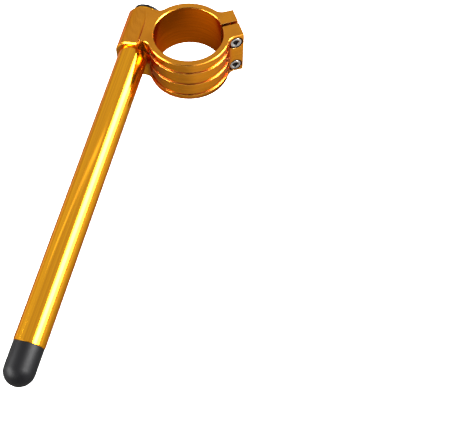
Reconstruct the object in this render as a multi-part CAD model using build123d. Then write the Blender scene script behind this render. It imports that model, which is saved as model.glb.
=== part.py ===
from build123d import *
import os
from math import asin, atan2, cos, degrees, radians, sin, sqrt

# Clip-on handlebar for the left fork leg: a split clamp milled from one block, a tube held in its boss,
# two plugs that close the tube, two pinch bolts and one set screw.
# Frame: fork axis is Z, middle of the clamp's height is Z = 0, the bar runs out towards -Y and droops.
# All sizes are millimetres and degrees.

# Fork clamp
fork_d = 51.0           # bore that grips the fork leg
clamp_h = 38.0          # height of the clamp along the fork
ring_wall = 4.9         # wall of the ring round the fork
edge_break = 0.5        # chamfer along the outer top and bottom edges
bore_chamfer = 0.5      # lead-in at both ends of the fork bore

# Turned grooves round the ring
groove_count = 3
groove_inset = 7.0      # middle of the outer grooves, from the clamp's top and bottom faces
groove_w = 4.5          # width at the bottom of a groove
groove_depth = 0.8
groove_lip = 0.15       # chamfer at the lips of a groove

# Split and its two lugs
slit_w = 2.5
slit_angle = 33.5       # direction of the split, from +X
lug_w = 26.0            # over the outer faces of both lugs
lug_edge = 6.1          # bolt axis to the end face of the lugs
lug_fillet = 7.5        # where the lugs run into the ring

# Pinch bolts, M5 socket heads
bolt_d = 5.0
bolt_l = 20.0
bolt_inset = 7.0        # bolt axes, from the clamp's top and bottom faces
bolt_out = 1.9          # bolt axis outside the ring's outer circle
head_d = 8.5
head_h = 5.0
head_proud = 0.1        # part of the head that stands out of its spot face
head_socket = 4.0       # hexagon across flats
head_socket_depth = 2.5
head_chamfer = 0.5
spot_d = 11.0           # spot face in the front lug
bolt_clearance = 0.25   # radial, in the front lug

# Bar tube
bar_d = 22.0
bar_wall = 3.5
bar_outer = 240.3       # along the bar, from the fork plane to the outer end
bar_inner = 21.4        # along the bar, from the fork plane to the inner end
bar_chamfer = 0.4
bar_fit = 0.05          # radial, between tube and boss
bar_droop = 9.57        # below level, towards the outer end
bar_depth = 16.9        # bar axis below the clamp's top face, in the fork plane
bore_gap = 1.95         # metal between the fork bore and the bar bore

# Boss round the tube
boss_wall = 3.0
boss_length = 32.0      # between the flat front and rear walls
boss_fillet = 6.5       # where these walls run into the ring
boss_side_cut = 0.3     # flat milled on the outer side of the boss
boss_chamfer = 0.8      # rim at the front and rear of the boss
step_fillet = 6.2       # hollow that rises from the crown of the boss to the clamp's flat top

# Set screw that locks the tube, M8
lock_d = 8.0
lock_l = 9.0
lock_along = 0.5        # along the bar, from the fork plane
lock_spot_d = 10.0
lock_socket = 4.0
lock_socket_depth = 4.0

# End plugs
plug_fit = 0.05         # radial, between a plug's stem and the tube
cap_d = 21.4            # domed plug at the outer end
cap_l = 28.2
cap_stem = 18.0
disc_d = 22.4           # flat plug at the inner end
disc_t = 1.8
disc_stem = 12.0
disc_edge = 0.7

overlap = 5.0           # how far a cutter runs past the metal it cuts

# Worked out from the sizes above
bore_r = fork_d / 2
ring_r = bore_r + ring_wall
top_z = clamp_h / 2
groove_pitch = (clamp_h - 2 * groove_inset) / max(groove_count - 1, 1)
lug_half = lug_w / 2
bolt_z = top_z - bolt_inset
bolt_reach = ring_r + bolt_out
lug_end = bolt_reach + lug_edge
bar_r = bar_d / 2
tube_r = bar_r - bar_wall
bar_bore_r = bar_r + bar_fit
bar_offset = bore_r + bore_gap + bar_bore_r
bar_z = top_z - bar_depth
boss_r = bar_r + boss_wall
boss_side = boss_r - boss_side_cut
boss_half = boss_length / 2
boss_reach = bar_offset + boss_side
stem_r = tube_r - plug_fit

# The bar's own plane: X towards the ring, Y up, Z out along the bar
droop = radians(bar_droop)
bar_plane = Plane(
    origin=(-bar_offset, 0, bar_z),
    x_dir=(1, 0, 0),
    z_dir=(0, -cos(droop), -sin(droop)),
)


def bolt_plane(height):
    """Plane of a pinch bolt: origin in the middle of the split, Z out through the bolt's head."""
    turn = radians(slit_angle)
    return Plane(
        origin=(bolt_reach * cos(turn), bolt_reach * sin(turn), height),
        x_dir=(0, 0, 1),
        z_dir=(sin(turn), -cos(turn), 0),
    )


def lock_plane():
    """Plane of the set screw: origin on the bar axis, Z out through the lower outer corner of the boss."""
    corner_drop = bar_z + top_z
    corner_angle = atan2(corner_drop, boss_side)
    outward = bar_plane.x_dir * -cos(corner_angle) + bar_plane.y_dir * -sin(corner_angle)
    origin = bar_plane.origin + bar_plane.z_dir * lock_along
    return Plane(origin=origin, x_dir=bar_plane.z_dir, z_dir=outward)


def rod(plane, radius, start, end):
    """Round bar about a plane's Z axis, from one height to another."""
    return plane * Pos(0, 0, (start + end) / 2) * Cylinder(radius, end - start)


def turned(outline):
    """Solid turned about Z from a closed outline of radius and height."""
    return revolve(Plane.XZ * make_face(outline), Axis.Z)


def clamp_plan():
    """Outline of the clamp from above: ring, lugs and boss block, with the inner corners rounded."""
    lugs = Rot(0, 0, slit_angle) * Pos(lug_end / 2, 0) * Rectangle(lug_end, lug_w)
    block = Pos(-boss_reach / 2, 0) * Rectangle(boss_reach, boss_length)
    plan = Circle(ring_r) + lugs + block
    lug_corner = Vector(sqrt(ring_r**2 - lug_half**2), lug_half)
    for side in (1, -1):
        corner = Vector(lug_corner.X, side * lug_corner.Y).rotate(Axis.Z, slit_angle)
        plan = fillet(plan.vertices().sort_by_distance(corner)[0], lug_fillet)
    for side in (1, -1):
        corner = (-sqrt(ring_r**2 - boss_half**2), side * boss_half, 0)
        plan = fillet(plan.vertices().sort_by_distance(corner)[0], boss_fillet)
    return plan


def boss():
    """Boss about the bar: flat outer side, round crown, hollow step up to the flat top, chamfered rims."""
    depth = clamp_h + boss_r
    side_top = sqrt(boss_r**2 - boss_side**2)
    crown_turn = degrees(asin(boss_side / boss_r))
    step_top = boss_r + step_fillet
    outline = [
        CenterArc((0, 0), boss_r, 90, crown_turn),
        Polyline(
            (-boss_side, side_top),
            (-boss_side, -depth),
            (bar_r, -depth),
            (bar_r, depth),
            (step_fillet, depth),
            (step_fillet, step_top),
        ),
        CenterArc((0, step_top), step_fillet, 270, 90),
    ]
    slab = Pos(-bar_offset, 0, 0) * Box(4 * boss_r, boss_length, clamp_h)
    blank = extrude(bar_plane * make_face(outline), 2 * boss_length, both=True) & slab
    walls = blank.faces().sort_by(Axis.Y)
    rims = [
        edge
        for wall in (walls[0], walls[-1])
        for edge in wall.edges()
        if abs(edge.center().Z) < top_z - edge_break and edge.center().X < step_fillet - bar_offset
    ]
    return chamfer(rims, boss_chamfer)


def boss_space():
    """Everything on the boss's side of the web."""
    reach = clamp_h + boss_reach
    return bar_plane * Pos(step_fillet - reach / 2, 0, 0) * Box(reach, 2 * reach, 4 * boss_length)


def ring_grooves():
    """Grooves round the bare stretches of the ring, between the boss and the lugs on both sides."""
    lug_turn = degrees(asin((lug_half + lug_fillet) / (ring_r + lug_fillet)))
    boss_turn = degrees(asin((boss_half + boss_fillet) / (ring_r + boss_fillet)))
    stretches = [
        (slit_angle + lug_turn, 180 - boss_turn),
        (180 + boss_turn, 360 + slit_angle - lug_turn),
    ]
    half = groove_w / 2
    inner = ring_r - groove_depth
    wide = half + 2 * groove_lip
    grooves = []
    for start, end in stretches:
        for index in range(groove_count):
            z = (index - (groove_count - 1) / 2) * groove_pitch
            outline = Polyline(
                (inner, z - half),
                (ring_r - groove_lip, z - half),
                (ring_r + groove_lip, z - wide),
                (ring_r + groove_lip, z + wide),
                (ring_r - groove_lip, z + half),
                (inner, z + half),
                close=True,
            )
            groove = revolve(Plane.XZ * make_face(outline), Axis.Z, revolution_arc=end - start)
            grooves.append(Rot(0, 0, start) * groove)
    return grooves


def clamp_body():
    """One milled piece: split ring with two lugs and the boss that takes the tube."""
    blank = extrude(clamp_plan(), top_z, both=True)
    faces = blank.faces().sort_by(Axis.Z)
    blank = chamfer(faces[0].edges() + faces[-1].edges(), edge_break)
    body = blank - boss_space() + (blank & boss())
    body -= Cylinder(bore_r, clamp_h + overlap)
    bore_ends = [
        edge
        for edge in body.edges().filter_by(GeomType.CIRCLE)
        if abs(edge.radius - bore_r) < bar_fit and abs(edge.center().Z) > top_z - bore_chamfer
    ]
    body = chamfer(bore_ends, bore_chamfer)
    for groove in ring_grooves():
        body -= groove
    slit_l = lug_end + overlap
    body -= Rot(0, 0, slit_angle) * Pos(slit_l / 2, 0, 0) * Box(slit_l, slit_w, clamp_h + overlap)
    body -= rod(bar_plane, bar_bore_r, -boss_length, boss_length)
    for height in (bolt_z, -bolt_z):
        plane = bolt_plane(height)
        seat = lug_half + head_proud - head_h
        body -= rod(plane, bolt_d / 2, -lug_half - overlap, 0)
        body -= rod(plane, bolt_d / 2 + bolt_clearance, 0, seat + overlap)
        body -= rod(plane, spot_d / 2, seat, lug_half + lug_fillet)
    plane = lock_plane()
    corner = sqrt((bar_z + top_z) ** 2 + boss_side**2)
    body -= rod(plane, lock_d / 2, bar_r - bar_wall / 2, corner + overlap)
    body -= rod(plane, lock_spot_d / 2, bar_r + lock_l, corner + overlap)
    return body


def handlebar_tube():
    """Straight tube, from its inner end behind the boss to its outer end."""
    tube = rod(bar_plane, bar_r, -bar_inner, bar_outer) - rod(bar_plane, tube_r, -bar_inner, bar_outer)
    return chamfer(tube.edges().filter_by(GeomType.CIRCLE), bar_chamfer)


def bar_end_plug():
    """Domed rubber plug with its stem in the outer end of the tube."""
    cap_r = cap_d / 2
    side = Polyline(
        (0, cap_l),
        (0, -cap_stem),
        (stem_r, -cap_stem),
        (stem_r, 0),
        (cap_r, 0),
        (cap_r, cap_l - cap_r),
    )
    dome = CenterArc((0, cap_l - cap_r), cap_r, 0, 90)
    return bar_plane * Pos(0, 0, bar_outer) * turned(side + dome)


def inner_end_plug():
    """Disc-headed plug with its stem in the inner end of the tube."""
    disc_r = disc_d / 2
    outline = Polyline(
        (0, -disc_stem),
        (stem_r, -disc_stem),
        (stem_r, 0),
        (disc_r, 0),
        (disc_r, disc_t - disc_edge),
        (disc_r - disc_edge, disc_t),
        (0, disc_t),
        close=True,
    )
    return bar_plane * Pos(0, 0, -bar_inner) * Rot(180, 0, 0) * turned(outline)


def hex_socket(across_flats, depth):
    """Hexagonal recess below Z = 0."""
    return extrude(RegularPolygon(across_flats / 2, 6, major_radius=False), -depth)


def pinch_bolt(height):
    """Socket head bolt through both lugs, screwed into the rear one."""
    seat = lug_half + head_proud - head_h
    head = Pos(0, 0, seat + head_h / 2) * Cylinder(head_d / 2, head_h)
    head = chamfer(head.edges().sort_by(Axis.Z)[-1], head_chamfer)
    head -= Pos(0, 0, seat + head_h) * hex_socket(head_socket, head_socket_depth)
    shank = Pos(0, 0, seat - bolt_l / 2) * Cylinder(bolt_d / 2, bolt_l)
    shank = chamfer(shank.edges().sort_by(Axis.Z)[0], head_chamfer)
    return bolt_plane(height) * (head + shank)


def bar_lock_screw():
    """Headless screw that bears on the tube through the lower corner of the boss."""
    screw = Pos(0, 0, bar_r + lock_l / 2) * Cylinder(lock_d / 2, lock_l)
    screw -= Pos(0, 0, bar_r + lock_l) * hex_socket(lock_socket, lock_socket_depth)
    return lock_plane() * screw


nodes = {
    "clamp_body": clamp_body(),
    "handlebar_tube": handlebar_tube(),
    "bar_end_plug": bar_end_plug(),
    "inner_end_plug": inner_end_plug(),
    "upper_pinch_bolt": pinch_bolt(bolt_z),
    "lower_pinch_bolt": pinch_bolt(-bolt_z),
    "bar_lock_screw": bar_lock_screw(),
}

os.makedirs("parts", exist_ok=True)
for name, solid in nodes.items():
    export_step(solid, f"parts/{name}.step")
    print(f"{name}: {solid.volume / 1000:.2f} cm3")
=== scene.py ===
from math import atan2, cos, pi, radians, sin

import bpy
import numpy as np
from bpy.props import FloatProperty, FloatVectorProperty, IntProperty, PointerProperty
from mathutils import Matrix, Vector


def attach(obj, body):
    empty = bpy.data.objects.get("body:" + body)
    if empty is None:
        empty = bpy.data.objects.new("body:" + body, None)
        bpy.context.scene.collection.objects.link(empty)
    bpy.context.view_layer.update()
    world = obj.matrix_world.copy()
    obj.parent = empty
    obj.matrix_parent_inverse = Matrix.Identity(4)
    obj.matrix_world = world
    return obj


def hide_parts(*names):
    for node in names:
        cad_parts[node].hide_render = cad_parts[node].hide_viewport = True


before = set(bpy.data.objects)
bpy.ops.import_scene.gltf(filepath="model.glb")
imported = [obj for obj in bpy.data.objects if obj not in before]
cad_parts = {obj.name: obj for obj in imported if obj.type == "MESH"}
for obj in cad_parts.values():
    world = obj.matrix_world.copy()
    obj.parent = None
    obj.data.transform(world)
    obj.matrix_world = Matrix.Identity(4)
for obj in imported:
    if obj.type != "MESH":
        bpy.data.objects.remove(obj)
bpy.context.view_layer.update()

bl_info = {
    "name": "Clip-on handlebar",
    "version": (1, 0, 0),
    "blender": (4, 5, 0),
    "location": "3D View > Sidebar > Handlebar",
    "description": "Dresses the packed clip-on handlebar with smooth metal, plugs and bolts, and lights it",
    "category": "Object",
}

BODY = "root"

# Turned pieces
HARD_EDGE = radians(30)     # metal is shaded sharp at edges above this angle
SOFT_EDGE = radians(40)     # rubber is shaded sharp at edges above this angle
CORNER_STEPS = 6            # points on a rounded corner of an outline
CORNER_SHARE = 0.45         # largest share of a side that one rounded corner takes
DOME_STEPS = 48             # points from the foot of the dome to its top
DOME_TIP = 0.00005          # radius of the last ring at the top of the dome
FLAT_MIDDLE = 0.001         # radius of the last ring on a plug's flat end
FLOOR_SHARE = 0.5           # radius of the last ring on a socket's floor, as a share of the hexagon

# Finishes
FINE_DETAIL = 3.0           # octaves of the fine and of the broad noise in the grain
BROAD_DETAIL = 2.0
GRAIN_RANGE = (0.3, 0.7)    # part of the grain's values that is spread over the whole change of colour
MASK_SAMPLES = 8            # rays for each test of an edge or a corner
EDGE_LEAN = (0.985, 0.90)   # cosine between rounded and flat normal where an edge starts and where it is full
# Painted shade: the clamp's split and tight corners are darkened by how closed in they are.
CLOSED_IN = (0.7, 0.4)      # open share of the surroundings where a recess starts and where it is full

# Soft lights: middle, direction of the long side (None is along the bar), length, breadth, radiance setting
PANELS = {
    "key_core": ((2.25, 0.63, 1.89), None, 1.80, 1.20, "key"),
    "key_glow": ((2.40, 0.63, 1.68), None, 1.80, 2.75, "glow"),
    "left_side": ((-0.714, -0.595, 0.37), (0.52, -0.853, 0), 0.86, 0.38, "left"),
    "right_side": ((0.548, -0.384, 0.51), (0.574, 0.819, 0), 0.75, 0.12, "right"),
    "low_front": ((-0.228, -1.072, 0.488), (1, 0, 0), 0.85, 0.28, "front"),
    "overhead_streak": ((-0.36, 0.07, 1.0), (0.775, 0.11, 0), 1.25, 0.06, "streak"),
}

# Darker side of the light from all round: its middle, and the cosines where it starts and where it is full
GAP_MIDDLE = (0.165, -0.937, 0.309)
GAP_EDGE = (0.66, 0.74)

# Matt pieces of the stage: reach of floor and table each way, and the roughness of all
SHEET_REACH = 12.0
MATT = 0.9

# Disc of painted shade below the clamp, seen only in reflections: its dim glow grows along the slope, over
# the range of the slope's values
SHADE_DISC_SIDES = 64
SHADE_DISC_SLOPE = (-37, -10, 0)
SHADE_DISC_RANGE = (-0.5, 0.9)
SHADE_DISC_STRENGTH = (0.65, 1.8)

# Camera: place, and directions to the right and up in the picture
CAMERA_PLACE = (0.132211, -0.394558, 0.467752)
CAMERA_RIGHT = (0.963435, 0.267725, 0.010754)
CAMERA_UP = (-0.237069, 0.833039, 0.499845)
SENSOR_WIDTH = 36.0
CLIP_START = 0.01


def metres(name, description, default):
    """A size for a property group."""
    return FloatProperty(name=name, description=description, default=default, unit="LENGTH", precision=5)


def angle(name, description, default):
    """An angle for a property group."""
    return FloatProperty(name=name, description=description, default=default, subtype="ANGLE")


def amount(name, description, default):
    """A number without a unit for a property group."""
    return FloatProperty(name=name, description=description, default=default, min=0.0)


def colour(name, description, default):
    """A linear colour for a property group."""
    return FloatVectorProperty(
        name=name, description=description, default=default, subtype="COLOR", size=3, min=0.0, max=1.0
    )


class BarSettings(bpy.types.PropertyGroup):
    """Tube and the line it lies on."""

    offset: metres("Offset", "From the fork axis to the bar axis", 0.0385)
    height: metres("Height", "Bar axis above the middle of the clamp, in the fork plane", 0.0021)
    droop: angle("Droop", "Fall of the bar towards its outer end", radians(9.57))
    radius: metres("Radius", "Outside of the tube", 0.011)
    wall: metres("Wall", "Thickness of the tube", 0.0035)
    outer_end: metres("Outer end", "Along the bar from the fork plane", 0.2403)
    inner_end: metres("Inner end", "Along the bar from the fork plane, the other way", 0.0214)
    edge: metres("End edge", "Chamfer at both ends of the tube", 0.0004)
    sides: IntProperty(name="Sides", description="Faces round a turned piece", default=192, min=24)


class PlugSettings(bpy.types.PropertyGroup):
    """Black plugs in both ends of the tube."""

    stem_radius: metres("Stem radius", "Stem inside the tube", 0.00745)
    cap_radius: metres("Cap radius", "Domed plug at the outer end", 0.01069)
    cap_length: metres("Cap length", "Domed plug beyond the tube", 0.02818)
    cap_stem: metres("Cap stem", "Stem of the domed plug", 0.018)
    cap_edge: metres("Cap edge", "Rounded edges at the foot and stem of the domed plug", 0.0003)
    disc_radius: metres("Disc radius", "Flat plug at the inner end", 0.0112)
    disc_thickness: metres("Disc thickness", "Head of the flat plug", 0.0018)
    disc_stem: metres("Disc stem", "Stem of the flat plug", 0.012)
    disc_edge: metres("Disc edge", "Rounded edges of the flat plug", 0.0007)


class BoltSettings(bpy.types.PropertyGroup):
    """Socket head bolts across the split."""

    slit_angle: angle("Split", "Direction of the split from X", radians(33.5))
    reach: metres("Reach", "From the fork axis to the bolt axis", 0.0323)
    height: metres("Height", "Bolt axes above and below the middle of the clamp", 0.012)
    top: metres("Top", "Top of the head from the middle of the split", 0.0131)
    head_radius: metres("Head radius", "Outside of the head", 0.00425)
    head_length: metres("Head length", "Height of the head", 0.005)
    shank_radius: metres("Shank radius", "Outside of the shank", 0.0025)
    shank_length: metres("Shank length", "Below the head", 0.020)
    socket: metres("Socket", "Hexagon across flats", 0.004)
    socket_depth: metres("Socket depth", "Depth of the hexagon", 0.0025)
    edge: metres("Edge", "Rounded edges of head and shank", 0.0005)
    lead_in: metres("Lead-in", "Chamfer round the socket", 0.0005)


class ScrewSettings(bpy.types.PropertyGroup):
    """Headless screw that locks the tube."""

    along: metres("Along", "Along the bar from the fork plane", 0.0005)
    side: metres("Side", "From the bar axis to the outer side of the boss", 0.0137)
    drop: metres("Drop", "From the bar axis to the underside of the boss", 0.0211)
    radius: metres("Radius", "Outside of the screw", 0.004)
    start: metres("Start", "Tip of the screw from the bar axis", 0.011)
    size: metres("Length", "Length of the screw", 0.009)
    socket: metres("Socket", "Hexagon across flats", 0.004)
    socket_depth: metres("Socket depth", "Depth of the hexagon", 0.004)
    edge: metres("Edge", "Rounding at both ends and chamfer round the socket", 0.0003)


class FinishSettings(bpy.types.PropertyGroup):
    """Colours of the finishes and of the painted highlight and shade, and the reach of the clamp's edge
    effects.
    """

    clamp_gold: colour("Clamp gold", "Satin anodised gold", (0.77, 0.29, 0.0167))
    clamp_deep: colour("Clamp deep", "Darker tool marks in the satin gold", (0.56, 0.195, 0.009))
    # Painted highlight: paler gold on the clamp's sharp edges.
    edge_highlight_gold: colour("Painted edge highlight", "Paler gold on sharp edges", (0.95, 0.55, 0.18))
    # Painted shade: darker gold in the split and in tight corners.
    corner_shade_gold: colour("Recess", "Duller gold in the split and in tight corners", (0.36, 0.13, 0.034))
    edge_reach: metres("Edge reach", "Radius to which the clamp's sharp edges are shaded round", 0.0003)
    corner_shade_reach: metres("Recess reach", "How near a wall has to be to close a corner in", 0.003)
    tube_gold: colour("Tube gold", "Polished anodised gold", (1.0, 0.44, 0.0105))
    tube_deep: colour("Tube deep", "Darker streaks of the polished gold", (0.56, 0.21, 0.0056))
    gold_edge: colour("Gold edge", "Tint of the golds seen at a flat angle", (0.75, 0.30, 0.05))
    plug_black: colour("Plug black", "Black rubber", (0.0012, 0.0012, 0.0016))
    plug_grey: colour("Plug grey", "Lighter grain of the rubber", (0.0026, 0.0025, 0.0032))
    steel: colour("Steel", "Bright bolts", (0.52, 0.49, 0.48))
    steel_deep: colour("Steel deep", "Darker marks on the bolts", (0.38, 0.36, 0.35))
    # Painted shade: dark grey inside the bolts' sockets.
    socket_shade: colour("Socket", "Inside of the bolts' sockets", (0.15, 0.14, 0.14))
    screw_black: colour("Screw black", "Blackened screw", (0.05, 0.048, 0.046))
    screw_grey: colour("Screw grey", "Rubbed places of the blackened screw", (0.09, 0.085, 0.08))


class StageSettings(bpy.types.PropertyGroup):
    """Camera, floor and light."""

    lens: FloatProperty(
        name="Lens", description="Focal length on a 36 mm sensor", default=65.738, unit="CAMERA"
    )
    floor_level: metres("Floor", "Height of the floor", -0.30)
    floor_white: colour("Floor white", "Pale floor", (0.85, 0.85, 0.84))
    floor_glow: amount("Floor glow", "Light that the floor gives by itself", 0.55)
    key: amount("Key", "Radiance of the key panel", 24.1)
    glow: amount("Glow", "Radiance of the wide panel round the key", 14.1)
    left: amount("Left", "Radiance of the panel at the left", 20.0)
    right: amount("Right", "Radiance of the panel at the right", 3.5)
    front: amount("Front", "Radiance of the low panel in front", 4.5)
    streak: amount("Streak", "Radiance of the thin strip overhead", 1.0)
    sky: amount("Sky", "Light from all round", 0.75)
    gap: amount("Gap", "Share of it left on the dark side by the camera", 0.12)
    table_level: metres("Table", "Height of the table that only reflections show", -0.060)
    # Painted shadow: the table is darker close to the bar and the fork axis.
    table_shadow: colour("Table near", "Tone of the table close to the bar", (0.135, 0.135, 0.13))
    table_far: colour("Table far", "Tone of the table away from it", (0.26, 0.26, 0.25))
    table_rim: colour("Table rim", "Tone of the table far out", (0.33, 0.33, 0.32))
    shadow_reach: metres("Near reach", "Where the near tone ends", 0.03)
    far_reach: metres("Far reach", "Where the tone away from the bar is full", 0.12)
    rim_reach: metres("Rim reach", "Where the tone far out is full", 0.35)
    # Painted shade that glows: a dim warm disc below the clamp, seen only in reflections.
    shade_disc: colour("Shade disc", "Light from the stand below the clamp", (0.33, 0.165, 0.02))
    shade_disc_radius: metres("Stand radius", "Outside of the stand", 0.036)
    shade_disc_level: metres("Stand level", "Height of the stand that only reflections show", -0.024)


def placed(origin, x, z):
    """Frame at an origin from its X and Z directions, with Y square to both."""
    axes = Matrix((x, z.cross(x), z)).transposed()
    return Matrix.Translation(origin) @ axes.to_4x4()


def bar_place(bar):
    """The bar's own frame: X towards the ring, Y up, Z out along the bar."""
    along = Vector((0, -cos(bar.droop), -sin(bar.droop)))
    return placed((-bar.offset, 0, bar.height), Vector((1, 0, 0)), along)


def bolt_place(bolt, height):
    """A pinch bolt's frame: Z out through its head, origin in the middle of the split."""
    turn = bolt.slit_angle
    out = Vector((sin(turn), -cos(turn), 0))
    return placed((bolt.reach * cos(turn), bolt.reach * sin(turn), height), Vector((0, 0, 1)), out)


def screw_place(bar, screw):
    """The lock screw's frame: Z from the bar axis out through the lower outer corner of the boss."""
    fall = atan2(screw.drop, screw.side)
    out = Vector((-cos(fall), -sin(fall), 0))
    return bar_place(bar) @ placed((0, 0, screw.along), Vector((0, 0, 1)), out)


def rounded(corners, radius):
    """Outline with each corner but the first and last cut round.

    A corner becomes the quadratic curve between the points that lie the radius away from it on both sides.
    """
    corners = np.asarray(corners, float)
    middle = corners[1:-1]
    ends = []
    for neighbour in (corners[:-2], corners[2:]):
        side = neighbour - middle
        size = np.linalg.norm(side, axis=1)
        ends.append(middle + side * (np.minimum(radius, size * CORNER_SHARE) / size)[:, None])
    start, end = ends
    t = np.linspace(0, 1, CORNER_STEPS)[None, :, None]
    curve = (1 - t) ** 2 * start[:, None] + 2 * t * (1 - t) * middle[:, None] + t**2 * end[:, None]
    return np.vstack([corners[:1], curve.reshape(-1, 2), corners[-1:]])


def hexagon(across_flats, turn):
    """Radius of a hexagon at each angle: half its width over the cosine of the angle from a flat."""
    from_flat = np.mod(turn + pi / 6, pi / 3) - pi / 6
    return across_flats / 2 / np.cos(from_flat)


def ring_stack(radius, height, loop):
    """Points (r cos a, r sin a, h) on a grid of rings and turns, with quads between the rings.

    radius holds one row per ring and one column per turn, height one value per ring. A loop joins the last
    ring to the first; otherwise both end rings are closed by a fan to a point on the axis.
    """
    rings, turns = radius.shape
    turn = np.linspace(0, 2 * pi, turns, endpoint=False)
    across = np.broadcast_to(height[:, None], radius.shape)
    points = np.stack([radius * np.cos(turn), radius * np.sin(turn), across], axis=2).reshape(-1, 3)
    column = np.arange(turns)
    after = (column + 1) % turns
    row = np.arange(rings if loop else rings - 1)[:, None]
    here = row * turns
    above = (row + 1) % rings * turns
    quads = np.stack([here + column, here + after, above + after, above + column], axis=2)
    faces = quads.reshape(-1, 4).tolist()
    if not loop:
        points = np.vstack([points, [[0, 0, height[0]], [0, 0, height[-1]]]])
        first = np.full(turns, rings * turns)
        last = first + 1
        top = (rings - 1) * turns
        faces += np.stack([after, column, first], axis=1).tolist()
        faces += np.stack([top + column, top + after, last], axis=1).tolist()
    return points, faces


def turned(outline, sides, loop=False):
    """Surface of revolution of an outline of (radius, height), going up the outside."""
    outline = np.asarray(outline, float)
    radius = np.repeat(outline[:, :1], sides, axis=1)
    return ring_stack(radius, outline[:, 1], loop)


def socketed(outside, across_flats, depth, lead_in, sides):
    """Surface of revolution with a hexagonal socket in its top, and a mark of 1 for each face in the socket.

    outside goes from the top down to the tip. The rings of the socket are put before it: the hexagon on the
    floor, the hexagon below the lead-in and a circle round it at the top. The stack is then turned over.
    """
    top = outside[0, 1]
    wall = hexagon(across_flats, np.linspace(0, 2 * pi, sides, endpoint=False))
    mouth = np.full(sides, across_flats / 2 / cos(pi / 6) + lead_in)
    socket = np.stack([wall * FLOOR_SHARE, wall, wall, mouth])
    levels = [top - depth, top - depth, top - lead_in, top]
    radius = np.vstack([socket, np.repeat(outside[:, :1], sides, axis=1)])[::-1]
    height = np.concatenate([levels, outside[:, 1]])[::-1]
    points, faces = ring_stack(radius, height, loop=False)
    # The faces end with two rows for wall and floor, the fan at the tip and the fan on the floor.
    inside = np.zeros(len(faces), np.float32)
    inside[-4 * sides:-2 * sides] = 1.0
    inside[-sides:] = 1.0
    return (points, faces), inside


def place_piece(name, surface, place, node, material, sharp, inside=None):
    """Puts a surface into the scene in place of a CAD node, smooth but for edges sharper than the angle.

    inside holds the marks of the faces in a socket.
    """
    points, faces = surface
    turn = np.array(place.to_3x3())
    mesh = bpy.data.meshes.new(name)
    mesh.from_pydata((points @ turn.T + np.array(place.translation)).tolist(), [], faces)
    mesh.polygons.foreach_set("use_smooth", np.ones(len(mesh.polygons), bool))
    mesh.set_sharp_from_angle(angle=sharp)
    mesh.materials.append(material)
    if inside is not None:
        mesh.attributes.new("recess", "FLOAT", "FACE").data.foreach_set("value", inside)
    piece = bpy.data.objects.new(name, mesh)
    bpy.context.scene.collection.objects.link(piece)
    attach(piece, BODY)
    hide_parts(node)


def opaque(tone):
    """A tone as the value of a colour socket."""
    return (*tone, 1.0)


def add_node(nodes, kind, values=None, **settings):
    """Adds a shader node with its settings and then the values of its sockets."""
    node = nodes.new(kind)
    for key, value in settings.items():
        setattr(node, key, value)
    for socket, value in (values or {}).items():
        node.inputs[socket].default_value = value
    return node


def grain_group():
    """Node group: fine and broad noise at a place, mixed into one value."""
    group = bpy.data.node_groups.get("surface_grain")
    if group:
        return group
    group = bpy.data.node_groups.new("surface_grain", "ShaderNodeTree")
    group.interface.new_socket("Vector", in_out="INPUT", socket_type="NodeSocketVector")
    for name in ("Fine Scale", "Broad Scale", "Broad Share"):
        group.interface.new_socket(name, in_out="INPUT", socket_type="NodeSocketFloat")
    group.interface.new_socket("Grain", in_out="OUTPUT", socket_type="NodeSocketFloat")
    link = group.links.new
    inputs = group.nodes.new("NodeGroupInput")
    outputs = group.nodes.new("NodeGroupOutput")
    fine = add_node(group.nodes, "ShaderNodeTexNoise", {"Detail": FINE_DETAIL})
    broad = add_node(group.nodes, "ShaderNodeTexNoise", {"Detail": BROAD_DETAIL})
    blend = group.nodes.new("ShaderNodeMix")
    for noise, scale, side in ((fine, "Fine Scale", "A"), (broad, "Broad Scale", "B")):
        link(inputs.outputs["Vector"], noise.inputs["Vector"])
        link(inputs.outputs[scale], noise.inputs["Scale"])
        link(noise.outputs["Fac"], blend.inputs[side])
    link(inputs.outputs["Broad Share"], blend.inputs["Factor"])
    link(blend.outputs["Result"], outputs.inputs["Grain"])
    return group


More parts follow.
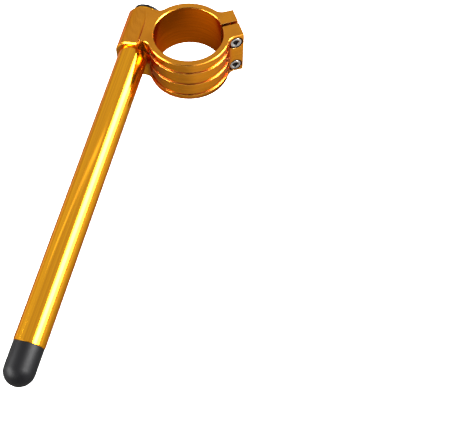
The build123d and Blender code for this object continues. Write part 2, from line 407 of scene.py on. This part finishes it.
def grained_material(
    name, light, deep, metallic, rough, grain, stretch, bump,
    turn=(0, 0, 0), coat=0.0, gloss=0.5, edge=(1, 1, 1), soften=0.0,
):
    """A finish whose colour, roughness and relief all follow one grain.

    rough is the lowest and highest roughness, grain the fine and broad scale and the broad share, stretch the
    length of the pattern along each axis after turning, bump the strength and depth of the relief, edge the
    tint of reflections at a flat angle, soften the radius to which sharp edges are shaded round.
    """
    material = bpy.data.materials.new(name)
    material.use_nodes = True
    nodes = material.node_tree.nodes
    link = material.node_tree.links.new
    shader = nodes["Principled BSDF"]
    shader.inputs["Metallic"].default_value = metallic
    shader.inputs["Specular IOR Level"].default_value = gloss
    shader.inputs["Specular Tint"].default_value = opaque(edge)
    shader.inputs["Coat Weight"].default_value = coat
    shader.inputs["Coat Roughness"].default_value = rough[0]
    place = nodes.new("ShaderNodeTexCoord")
    mapping = add_node(
        nodes, "ShaderNodeMapping", {"Rotation": turn, "Scale": stretch}, vector_type="TEXTURE"
    )
    pattern = add_node(
        nodes,
        "ShaderNodeGroup",
        {"Fine Scale": grain[0], "Broad Scale": grain[1], "Broad Share": grain[2]},
        node_tree=grain_group(),
    )
    contrast = add_node(nodes, "ShaderNodeMapRange", {"From Min": GRAIN_RANGE[0], "From Max": GRAIN_RANGE[1]})
    tint = add_node(nodes, "ShaderNodeMix", {"A": opaque(deep), "B": opaque(light)}, data_type="RGBA")
    polish = add_node(nodes, "ShaderNodeMapRange", {"To Min": rough[1], "To Max": rough[0]})
    relief = add_node(nodes, "ShaderNodeBump", {"Strength": bump[0], "Distance": bump[1]})
    if soften:
        corner = add_node(nodes, "ShaderNodeBevel", {"Radius": soften}, samples=MASK_SAMPLES)
        link(corner.outputs["Normal"], relief.inputs["Normal"])
    link(place.outputs["Object"], mapping.inputs["Vector"])
    link(mapping.outputs["Vector"], pattern.inputs["Vector"])
    link(pattern.outputs["Grain"], contrast.inputs["Value"])
    link(contrast.outputs["Result"], tint.inputs["Factor"])
    link(contrast.outputs["Result"], polish.inputs["Value"])
    link(pattern.outputs["Grain"], relief.inputs["Height"])
    link(tint.outputs["Result"], shader.inputs["Base Color"])
    link(polish.outputs["Result"], shader.inputs["Roughness"])
    link(relief.outputs["Normal"], shader.inputs["Normal"])
    return material


def tint_where(material, mask, tone):
    """Turns the base colour to another tone where the mask is 1."""
    link = material.node_tree.links.new
    base = material.node_tree.nodes["Principled BSDF"].inputs["Base Color"]
    plain = base.links[0].from_socket
    blend = add_node(material.node_tree.nodes, "ShaderNodeMix", {"B": opaque(tone)}, data_type="RGBA")
    link(mask, blend.inputs["Factor"])
    link(plain, blend.inputs["A"])
    link(blend.outputs["Result"], base)


def edge_mask(material, reach):
    """Mask of the painted edge highlight: 1 on sharp edges, 0 on open faces, by how far the rounded normal
    leans from the face's own.
    """
    nodes = material.node_tree.nodes
    link = material.node_tree.links.new
    corner = add_node(nodes, "ShaderNodeBevel", {"Radius": reach}, samples=MASK_SAMPLES)
    face = nodes.new("ShaderNodeNewGeometry")
    lean = add_node(nodes, "ShaderNodeVectorMath", operation="DOT_PRODUCT")
    edge = add_node(nodes, "ShaderNodeMapRange", {"From Min": EDGE_LEAN[0], "From Max": EDGE_LEAN[1]})
    link(corner.outputs["Normal"], lean.inputs[0])
    link(face.outputs["True Normal"], lean.inputs[1])
    link(lean.outputs["Value"], edge.inputs["Value"])
    return edge.outputs["Result"]


def corner_shade_mask(material, reach):
    """Mask of the painted corner shade: 1 deep in slits and tight corners, 0 on open faces, by how much of
    the near surroundings is closed in.
    """
    nodes = material.node_tree.nodes
    openness = add_node(nodes, "ShaderNodeAmbientOcclusion", {"Distance": reach}, samples=MASK_SAMPLES)
    closed = add_node(nodes, "ShaderNodeMapRange", {"From Min": CLOSED_IN[0], "From Max": CLOSED_IN[1]})
    material.node_tree.links.new(openness.outputs["AO"], closed.inputs["Value"])
    return closed.outputs["Result"]


class HANDLEBAR_OT_clamp(bpy.types.Operator):
    """Gives the milled clamp its satin gold anodised finish"""

    bl_idname = "handlebar.clamp"
    bl_label = "Clamp"

    def execute(self, context):
        finish = context.scene.handlebar_finish
        gold = grained_material(
            "satin_gold",
            light=finish.clamp_gold,
            deep=finish.clamp_deep,
            metallic=1.0,
            rough=(0.14, 0.22),
            grain=(1500, 600, 0.5),
            stretch=(20, 20, 1),
            bump=(0.1, 0.00001),
            coat=0.17,
            edge=finish.gold_edge,
            soften=finish.edge_reach,
        )
        # Painted highlight: the clamp's sharp edges are turned paler gold.
        tint_where(gold, edge_mask(gold, finish.edge_reach), finish.edge_highlight_gold)
        # Painted shade: the split and tight corners are turned darker gold.
        tint_where(gold, corner_shade_mask(gold, finish.corner_shade_reach), finish.corner_shade_gold)
        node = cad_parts["clamp_body"]
        node.data.materials.clear()
        node.data.materials.append(gold)
        return {"FINISHED"}


class HANDLEBAR_OT_tube(bpy.types.Operator):
    """Turns the polished tube"""

    bl_idname = "handlebar.tube"
    bl_label = "Tube"

    def execute(self, context):
        bar = context.scene.handlebar_bar
        finish = context.scene.handlebar_finish
        gold = grained_material(
            "polished_gold",
            light=finish.tube_gold,
            deep=finish.tube_deep,
            metallic=1.0,
            rough=(0.09, 0.14),
            grain=(800, 260, 0.6),
            stretch=(1, 160, 1),
            bump=(0.03, 0.00001),
            turn=(bar.droop, 0, 0),
            coat=0.20,
            edge=finish.gold_edge,
        )
        bore = bar.radius - bar.wall
        inner = -bar.inner_end
        outline = [
            (bar.radius - bar.edge, inner),
            (bar.radius, inner + bar.edge),
            (bar.radius, bar.outer_end - bar.edge),
            (bar.radius - bar.edge, bar.outer_end),
            (bore + bar.edge, bar.outer_end),
            (bore, bar.outer_end - bar.edge),
            (bore, inner + bar.edge),
            (bore + bar.edge, inner),
        ]
        surface = turned(outline, bar.sides, loop=True)
        place_piece("bar_tube", surface, bar_place(bar), "handlebar_tube", gold, HARD_EDGE)
        return {"FINISHED"}


class HANDLEBAR_OT_plugs(bpy.types.Operator):
    """Turns the black plugs at both ends of the tube"""

    bl_idname = "handlebar.plugs"
    bl_label = "End plugs"

    def execute(self, context):
        bar = context.scene.handlebar_bar
        plug = context.scene.handlebar_plug
        finish = context.scene.handlebar_finish
        black = grained_material(
            "black_rubber",
            light=finish.plug_grey,
            deep=finish.plug_black,
            metallic=0.0,
            rough=(0.42, 0.50),
            grain=(1800, 300, 0.4),
            stretch=(1, 1, 1),
            bump=(0.15, 0.00003),
            gloss=0.16,
        )
        # The domed plug: stem and foot, then a quarter of a circle up to the axis.
        crown = plug.cap_length - plug.cap_radius
        stem = [
            (FLAT_MIDDLE, -plug.cap_stem),
            (plug.stem_radius, -plug.cap_stem),
            (plug.stem_radius, 0),
            (plug.cap_radius, 0),
            (plug.cap_radius, crown),
        ]
        quarter = np.linspace(0, pi / 2, DOME_STEPS)[:-1]
        circle = plug.cap_radius * np.stack([np.cos(quarter), np.sin(quarter)], axis=1)
        dome = circle + np.array([0, crown])
        cap = np.vstack([rounded(stem, plug.cap_edge)[:-1], dome, [[DOME_TIP, plug.cap_length]]])
        outer = bar_place(bar) @ Matrix.Translation((0, 0, bar.outer_end))
        place_piece(
            "outer_plug", turned(cap, bar.sides), outer, "bar_end_plug", black, SOFT_EDGE
        )
        # The flat plug: stem and disc, turned to point the other way.
        disc = [
            (FLAT_MIDDLE, -plug.disc_stem),
            (plug.stem_radius, -plug.disc_stem),
            (plug.stem_radius, 0),
            (plug.disc_radius, 0),
            (plug.disc_radius, plug.disc_thickness),
            (FLAT_MIDDLE, plug.disc_thickness),
        ]
        head = turned(rounded(disc, plug.disc_edge), bar.sides)
        inner = bar_place(bar) @ Matrix.Translation((0, 0, -bar.inner_end)) @ Matrix.Rotation(pi, 4, "X")
        place_piece("inner_plug", head, inner, "inner_end_plug", black, SOFT_EDGE)
        return {"FINISHED"}


class HANDLEBAR_OT_pinch_bolts(bpy.types.Operator):
    """Turns the two socket head bolts that close the split"""

    bl_idname = "handlebar.pinch_bolts"
    bl_label = "Pinch bolts"

    def execute(self, context):
        bar = context.scene.handlebar_bar
        bolt = context.scene.handlebar_bolt
        finish = context.scene.handlebar_finish
        steel = grained_material(
            "bright_steel",
            light=finish.steel,
            deep=finish.steel_deep,
            metallic=1.0,
            rough=(0.14, 0.26),
            grain=(2200, 500, 0.5),
            stretch=(1, 1, 1),
            bump=(0.08, 0.00001),
        )
        # Painted shade: the faces inside the sockets are turned dark grey.
        marks = add_node(steel.node_tree.nodes, "ShaderNodeAttribute", attribute_name="recess")
        tint_where(steel, marks.outputs["Fac"], finish.socket_shade)
        seat = bolt.top - bolt.head_length
        tip = seat - bolt.shank_length
        outside = [
            (bolt.head_radius - 2 * bolt.edge, bolt.top),
            (bolt.head_radius, bolt.top),
            (bolt.head_radius, seat),
            (bolt.shank_radius, seat),
            (bolt.shank_radius, tip),
            (bolt.shank_radius / 2, tip),
        ]
        surface, inside = socketed(
            rounded(outside, bolt.edge), bolt.socket, bolt.socket_depth, bolt.lead_in, bar.sides
        )
        for level, height in (("upper", bolt.height), ("lower", -bolt.height)):
            place = bolt_place(bolt, height)
            node = f"{level}_pinch_bolt"
            place_piece(f"{level}_bolt", surface, place, node, steel, HARD_EDGE, inside)
        return {"FINISHED"}


class HANDLEBAR_OT_lock_screw(bpy.types.Operator):
    """Turns the headless screw that locks the tube in the boss"""

    bl_idname = "handlebar.lock_screw"
    bl_label = "Lock screw"

    def execute(self, context):
        bar = context.scene.handlebar_bar
        screw = context.scene.handlebar_screw
        finish = context.scene.handlebar_finish
        black = grained_material(
            "black_steel",
            light=finish.screw_grey,
            deep=finish.screw_black,
            metallic=1.0,
            rough=(0.3, 0.45),
            grain=(1800, 400, 0.5),
            stretch=(1, 1, 1),
            bump=(0.1, 0.00001),
        )
        end = screw.start + screw.size
        outside = [
            (screw.radius - 3 * screw.edge, end),
            (screw.radius, end),
            (screw.radius, screw.start),
            (screw.radius / 2, screw.start),
        ]
        surface, _ = socketed(
            rounded(outside, screw.edge), screw.socket, screw.socket_depth, screw.edge, bar.sides
        )
        place = screw_place(bar, screw)
        place_piece("lock_screw", surface, place, "bar_lock_screw", black, HARD_EDGE)
        return {"FINISHED"}


def stage_piece(name, points, face, tone):
    """One flat matt face that belongs to the stage."""
    mesh = bpy.data.meshes.new(name)
    mesh.from_pydata(points.tolist(), [], [face])
    paint = bpy.data.materials.new(f"matt_{name}")
    paint.use_nodes = True
    shader = paint.node_tree.nodes["Principled BSDF"]
    shader.inputs["Base Color"].default_value = opaque(tone)
    shader.inputs["Roughness"].default_value = MATT
    shader.inputs["Specular IOR Level"].default_value = 0.0
    mesh.materials.append(paint)
    piece = bpy.data.objects.new(name, mesh)
    bpy.context.scene.collection.objects.link(piece)
    return piece


def sheet(name, level, tone):
    """Large square sheet at a height."""
    x, y = np.meshgrid((-SHEET_REACH, SHEET_REACH), (-SHEET_REACH, SHEET_REACH))
    points = np.stack([x, y, np.full_like(x, level)], axis=2).reshape(-1, 3)
    return stage_piece(name, points, (0, 1, 3, 2), tone)


def show_in_reflections_only(piece):
    """Hides a piece of the stage from all but mirrored light."""
    piece.visible_camera = False
    piece.visible_diffuse = False
    piece.visible_shadow = False


def add_floor(stage):
    """Pale floor that shines a little and is not mirrored in the metal."""
    floor = sheet("floor", stage.floor_level, stage.floor_white)
    floor.visible_glossy = False
    shader = floor.data.materials[0].node_tree.nodes["Principled BSDF"]
    shader.inputs["Emission Color"].default_value = opaque(stage.floor_white)
    shader.inputs["Emission Strength"].default_value = stage.floor_glow


def add_table(stage, bar):
    """Table whose tone rises with the distance, in plan, from the nearer of bar line and fork axis: a painted
    shadow, darkest close to them.
    """
    table = sheet("table", stage.table_level, (0, 0, 0))
    show_in_reflections_only(table)
    nodes = table.data.materials[0].node_tree.nodes
    link = table.data.materials[0].node_tree.links.new
    place = nodes.new("ShaderNodeTexCoord")
    plan = add_node(nodes, "ShaderNodeVectorMath", {1: (1, 1, 0)}, operation="MULTIPLY")
    from_fork = add_node(nodes, "ShaderNodeVectorMath", operation="LENGTH")
    axes = nodes.new("ShaderNodeSeparateXYZ")
    across = add_node(nodes, "ShaderNodeMath", {1: bar.offset}, operation="ADD")
    from_line = add_node(nodes, "ShaderNodeMath", operation="ABSOLUTE")
    nearer = add_node(nodes, "ShaderNodeMath", operation="MINIMUM")
    share = add_node(nodes, "ShaderNodeMapRange", {"From Max": stage.rim_reach})
    paint = nodes.new("ShaderNodeValToRGB")
    ramp = paint.color_ramp
    ramp.interpolation = "EASE"
    ramp.elements[0].position = stage.shadow_reach / stage.rim_reach
    ramp.elements[0].color = opaque(stage.table_shadow)
    ramp.elements[1].position = 1.0
    ramp.elements[1].color = opaque(stage.table_rim)
    ramp.elements.new(stage.far_reach / stage.rim_reach).color = opaque(stage.table_far)
    link(place.outputs["Object"], plan.inputs[0])
    link(plan.outputs["Vector"], from_fork.inputs[0])
    link(plan.outputs["Vector"], axes.inputs["Vector"])
    link(axes.outputs["X"], across.inputs[0])
    link(across.outputs["Value"], from_line.inputs[0])
    link(from_fork.outputs["Value"], nearer.inputs[0])
    link(from_line.outputs["Value"], nearer.inputs[1])
    link(nearer.outputs["Value"], share.inputs["Value"])
    link(share.outputs["Result"], paint.inputs["Fac"])
    link(paint.outputs["Color"], nodes["Principled BSDF"].inputs["Base Color"])


def add_shade_disc(stage):
    """Round disc of painted shade below the clamp, seen only in reflections, that glows dimly, stronger
    towards the boss.
    """
    turn = np.linspace(0, 2 * pi, SHADE_DISC_SIDES, endpoint=False)
    rim = stage.shade_disc_radius * np.stack([np.cos(turn), np.sin(turn)], axis=1)
    points = np.column_stack([rim, np.full(SHADE_DISC_SIDES, stage.shade_disc_level)])
    shade_disc = stage_piece("painted_shade_disc", points, list(range(SHADE_DISC_SIDES)), (0, 0, 0))
    show_in_reflections_only(shade_disc)
    nodes = shade_disc.data.materials[0].node_tree.nodes
    link = shade_disc.data.materials[0].node_tree.links.new
    shader = nodes["Principled BSDF"]
    shader.inputs["Emission Color"].default_value = opaque(stage.shade_disc)
    place = nodes.new("ShaderNodeTexCoord")
    slope = add_node(nodes, "ShaderNodeVectorMath", {1: SHADE_DISC_SLOPE}, operation="DOT_PRODUCT")
    low, high = SHADE_DISC_RANGE
    weak, strong = SHADE_DISC_STRENGTH
    values = {"From Min": low, "From Max": high, "To Min": weak, "To Max": strong}
    strength = add_node(nodes, "ShaderNodeMapRange", values)
    link(place.outputs["Object"], slope.inputs[0])
    link(slope.outputs["Value"], strength.inputs["Value"])
    link(strength.outputs["Result"], shader.inputs["Emission Strength"])


def add_panel(name, middle, along, length, breadth, radiance):
    """Flat soft light that faces the fork axis, with its long side near the given direction."""
    back = Vector(middle).normalized()
    side = Vector(along)
    side = (side - side.dot(back) * back).normalized()
    data = bpy.data.lights.new(name, "AREA")
    data.shape = "RECTANGLE"
    data.size = length
    data.size_y = breadth
    data.energy = radiance * pi * length * breadth
    lamp = bpy.data.objects.new(name, data)
    lamp.matrix_world = placed(middle, side, back)
    lamp.visible_camera = False
    bpy.context.scene.collection.objects.link(lamp)


def add_world(scene, stage):
    """Even soft light from all round, darker in a gap beside the camera; the far background is white.

    Light = sky times a smooth step of the angle from the middle of the gap.
    """
    world = bpy.data.worlds.new("studio")
    world.use_nodes = True
    nodes = world.node_tree.nodes
    link = world.node_tree.links.new
    sky = nodes["Background"]
    place = nodes.new("ShaderNodeTexCoord")
    middle = Vector(GAP_MIDDLE).normalized()
    towards = add_node(nodes, "ShaderNodeVectorMath", {1: middle}, operation="DOT_PRODUCT")
    start, full = GAP_EDGE
    values = {"From Min": start, "From Max": full, "To Min": stage.sky, "To Max": stage.sky * stage.gap}
    step = add_node(nodes, "ShaderNodeMapRange", values, interpolation_type="SMOOTHSTEP")
    white = add_node(nodes, "ShaderNodeBackground", {"Color": (1, 1, 1, 1)})
    ray = nodes.new("ShaderNodeLightPath")
    blend = nodes.new("ShaderNodeMixShader")
    link(place.outputs["Generated"], towards.inputs[0])
    link(towards.outputs["Value"], step.inputs["Value"])
    link(step.outputs["Result"], sky.inputs["Color"])
    link(ray.outputs["Is Camera Ray"], blend.inputs["Fac"])
    link(sky.outputs["Background"], blend.inputs[1])
    link(white.outputs["Background"], blend.inputs[2])
    link(blend.outputs["Shader"], nodes["World Output"].inputs["Surface"])
    scene.world = world


def add_camera(scene, stage):
    """Camera above the lugs, looking down across the clamp towards the boss."""
    right = Vector(CAMERA_RIGHT)
    data = bpy.data.cameras.new("camera")
    data.sensor_width = SENSOR_WIDTH
    data.lens = stage.lens
    data.clip_start = CLIP_START
    camera = bpy.data.objects.new("camera", data)
    camera.matrix_world = placed(CAMERA_PLACE, right, right.cross(Vector(CAMERA_UP)))
    scene.collection.objects.link(camera)
    scene.camera = camera


class HANDLEBAR_OT_stage(bpy.types.Operator):
    """Sets the pale floor, the soft light and the camera"""

    bl_idname = "handlebar.stage"
    bl_label = "Stage"

    def execute(self, context):
        scene = context.scene
        stage = scene.handlebar_stage
        bar = scene.handlebar_bar
        add_floor(stage)
        add_table(stage, bar)
        add_shade_disc(stage)
        add_world(scene, stage)
        along_bar = bar_place(bar).to_3x3().col[2]
        for name, (middle, along, length, breadth, radiance) in PANELS.items():
            add_panel(name, middle, along or along_bar, length, breadth, getattr(stage, radiance))
        add_camera(scene, stage)
        scene.view_settings.view_transform = "Standard"
        return {"FINISHED"}


class HANDLEBAR_PT_panel(bpy.types.Panel):
    """Lists the pieces of the handlebar"""

    bl_idname = "HANDLEBAR_PT_panel"
    bl_label = "Handlebar"
    bl_space_type = "VIEW_3D"
    bl_region_type = "UI"
    bl_category = "Handlebar"

    def draw(self, context):
        for operator in OPERATORS:
            self.layout.operator(operator.bl_idname)
        for name, group in SETTINGS.items():
            box = self.layout.box()
            box.label(text=name.replace("handlebar_", "").title())
            for key in group.__annotations__:
                box.prop(getattr(context.scene, name), key)


SETTINGS = {
    "handlebar_bar": BarSettings,
    "handlebar_plug": PlugSettings,
    "handlebar_bolt": BoltSettings,
    "handlebar_screw": ScrewSettings,
    "handlebar_finish": FinishSettings,
    "handlebar_stage": StageSettings,
}
OPERATORS = [
    HANDLEBAR_OT_clamp,
    HANDLEBAR_OT_tube,
    HANDLEBAR_OT_plugs,
    HANDLEBAR_OT_pinch_bolts,
    HANDLEBAR_OT_lock_screw,
    HANDLEBAR_OT_stage,
]


def register():
    """Adds the settings, the operators and the panel to Blender."""
    for name, group in SETTINGS.items():
        bpy.utils.register_class(group)
        setattr(bpy.types.Scene, name, PointerProperty(type=group))
    for operator in OPERATORS:
        bpy.utils.register_class(operator)
    bpy.utils.register_class(HANDLEBAR_PT_panel)


def unregister():
    """Takes the panel, the operators and the settings out again."""
    bpy.utils.unregister_class(HANDLEBAR_PT_panel)
    for operator in reversed(OPERATORS):
        bpy.utils.unregister_class(operator)
    for name, group in reversed(SETTINGS.items()):
        delattr(bpy.types.Scene, name)
        bpy.utils.unregister_class(group)


def main():
    """Makes every piece and the stage."""
    register()
    bpy.ops.handlebar.clamp()
    bpy.ops.handlebar.tube()
    bpy.ops.handlebar.plugs()
    bpy.ops.handlebar.pinch_bolts()
    bpy.ops.handlebar.lock_screw()
    bpy.ops.handlebar.stage()


if __name__ == "__main__":
    main()
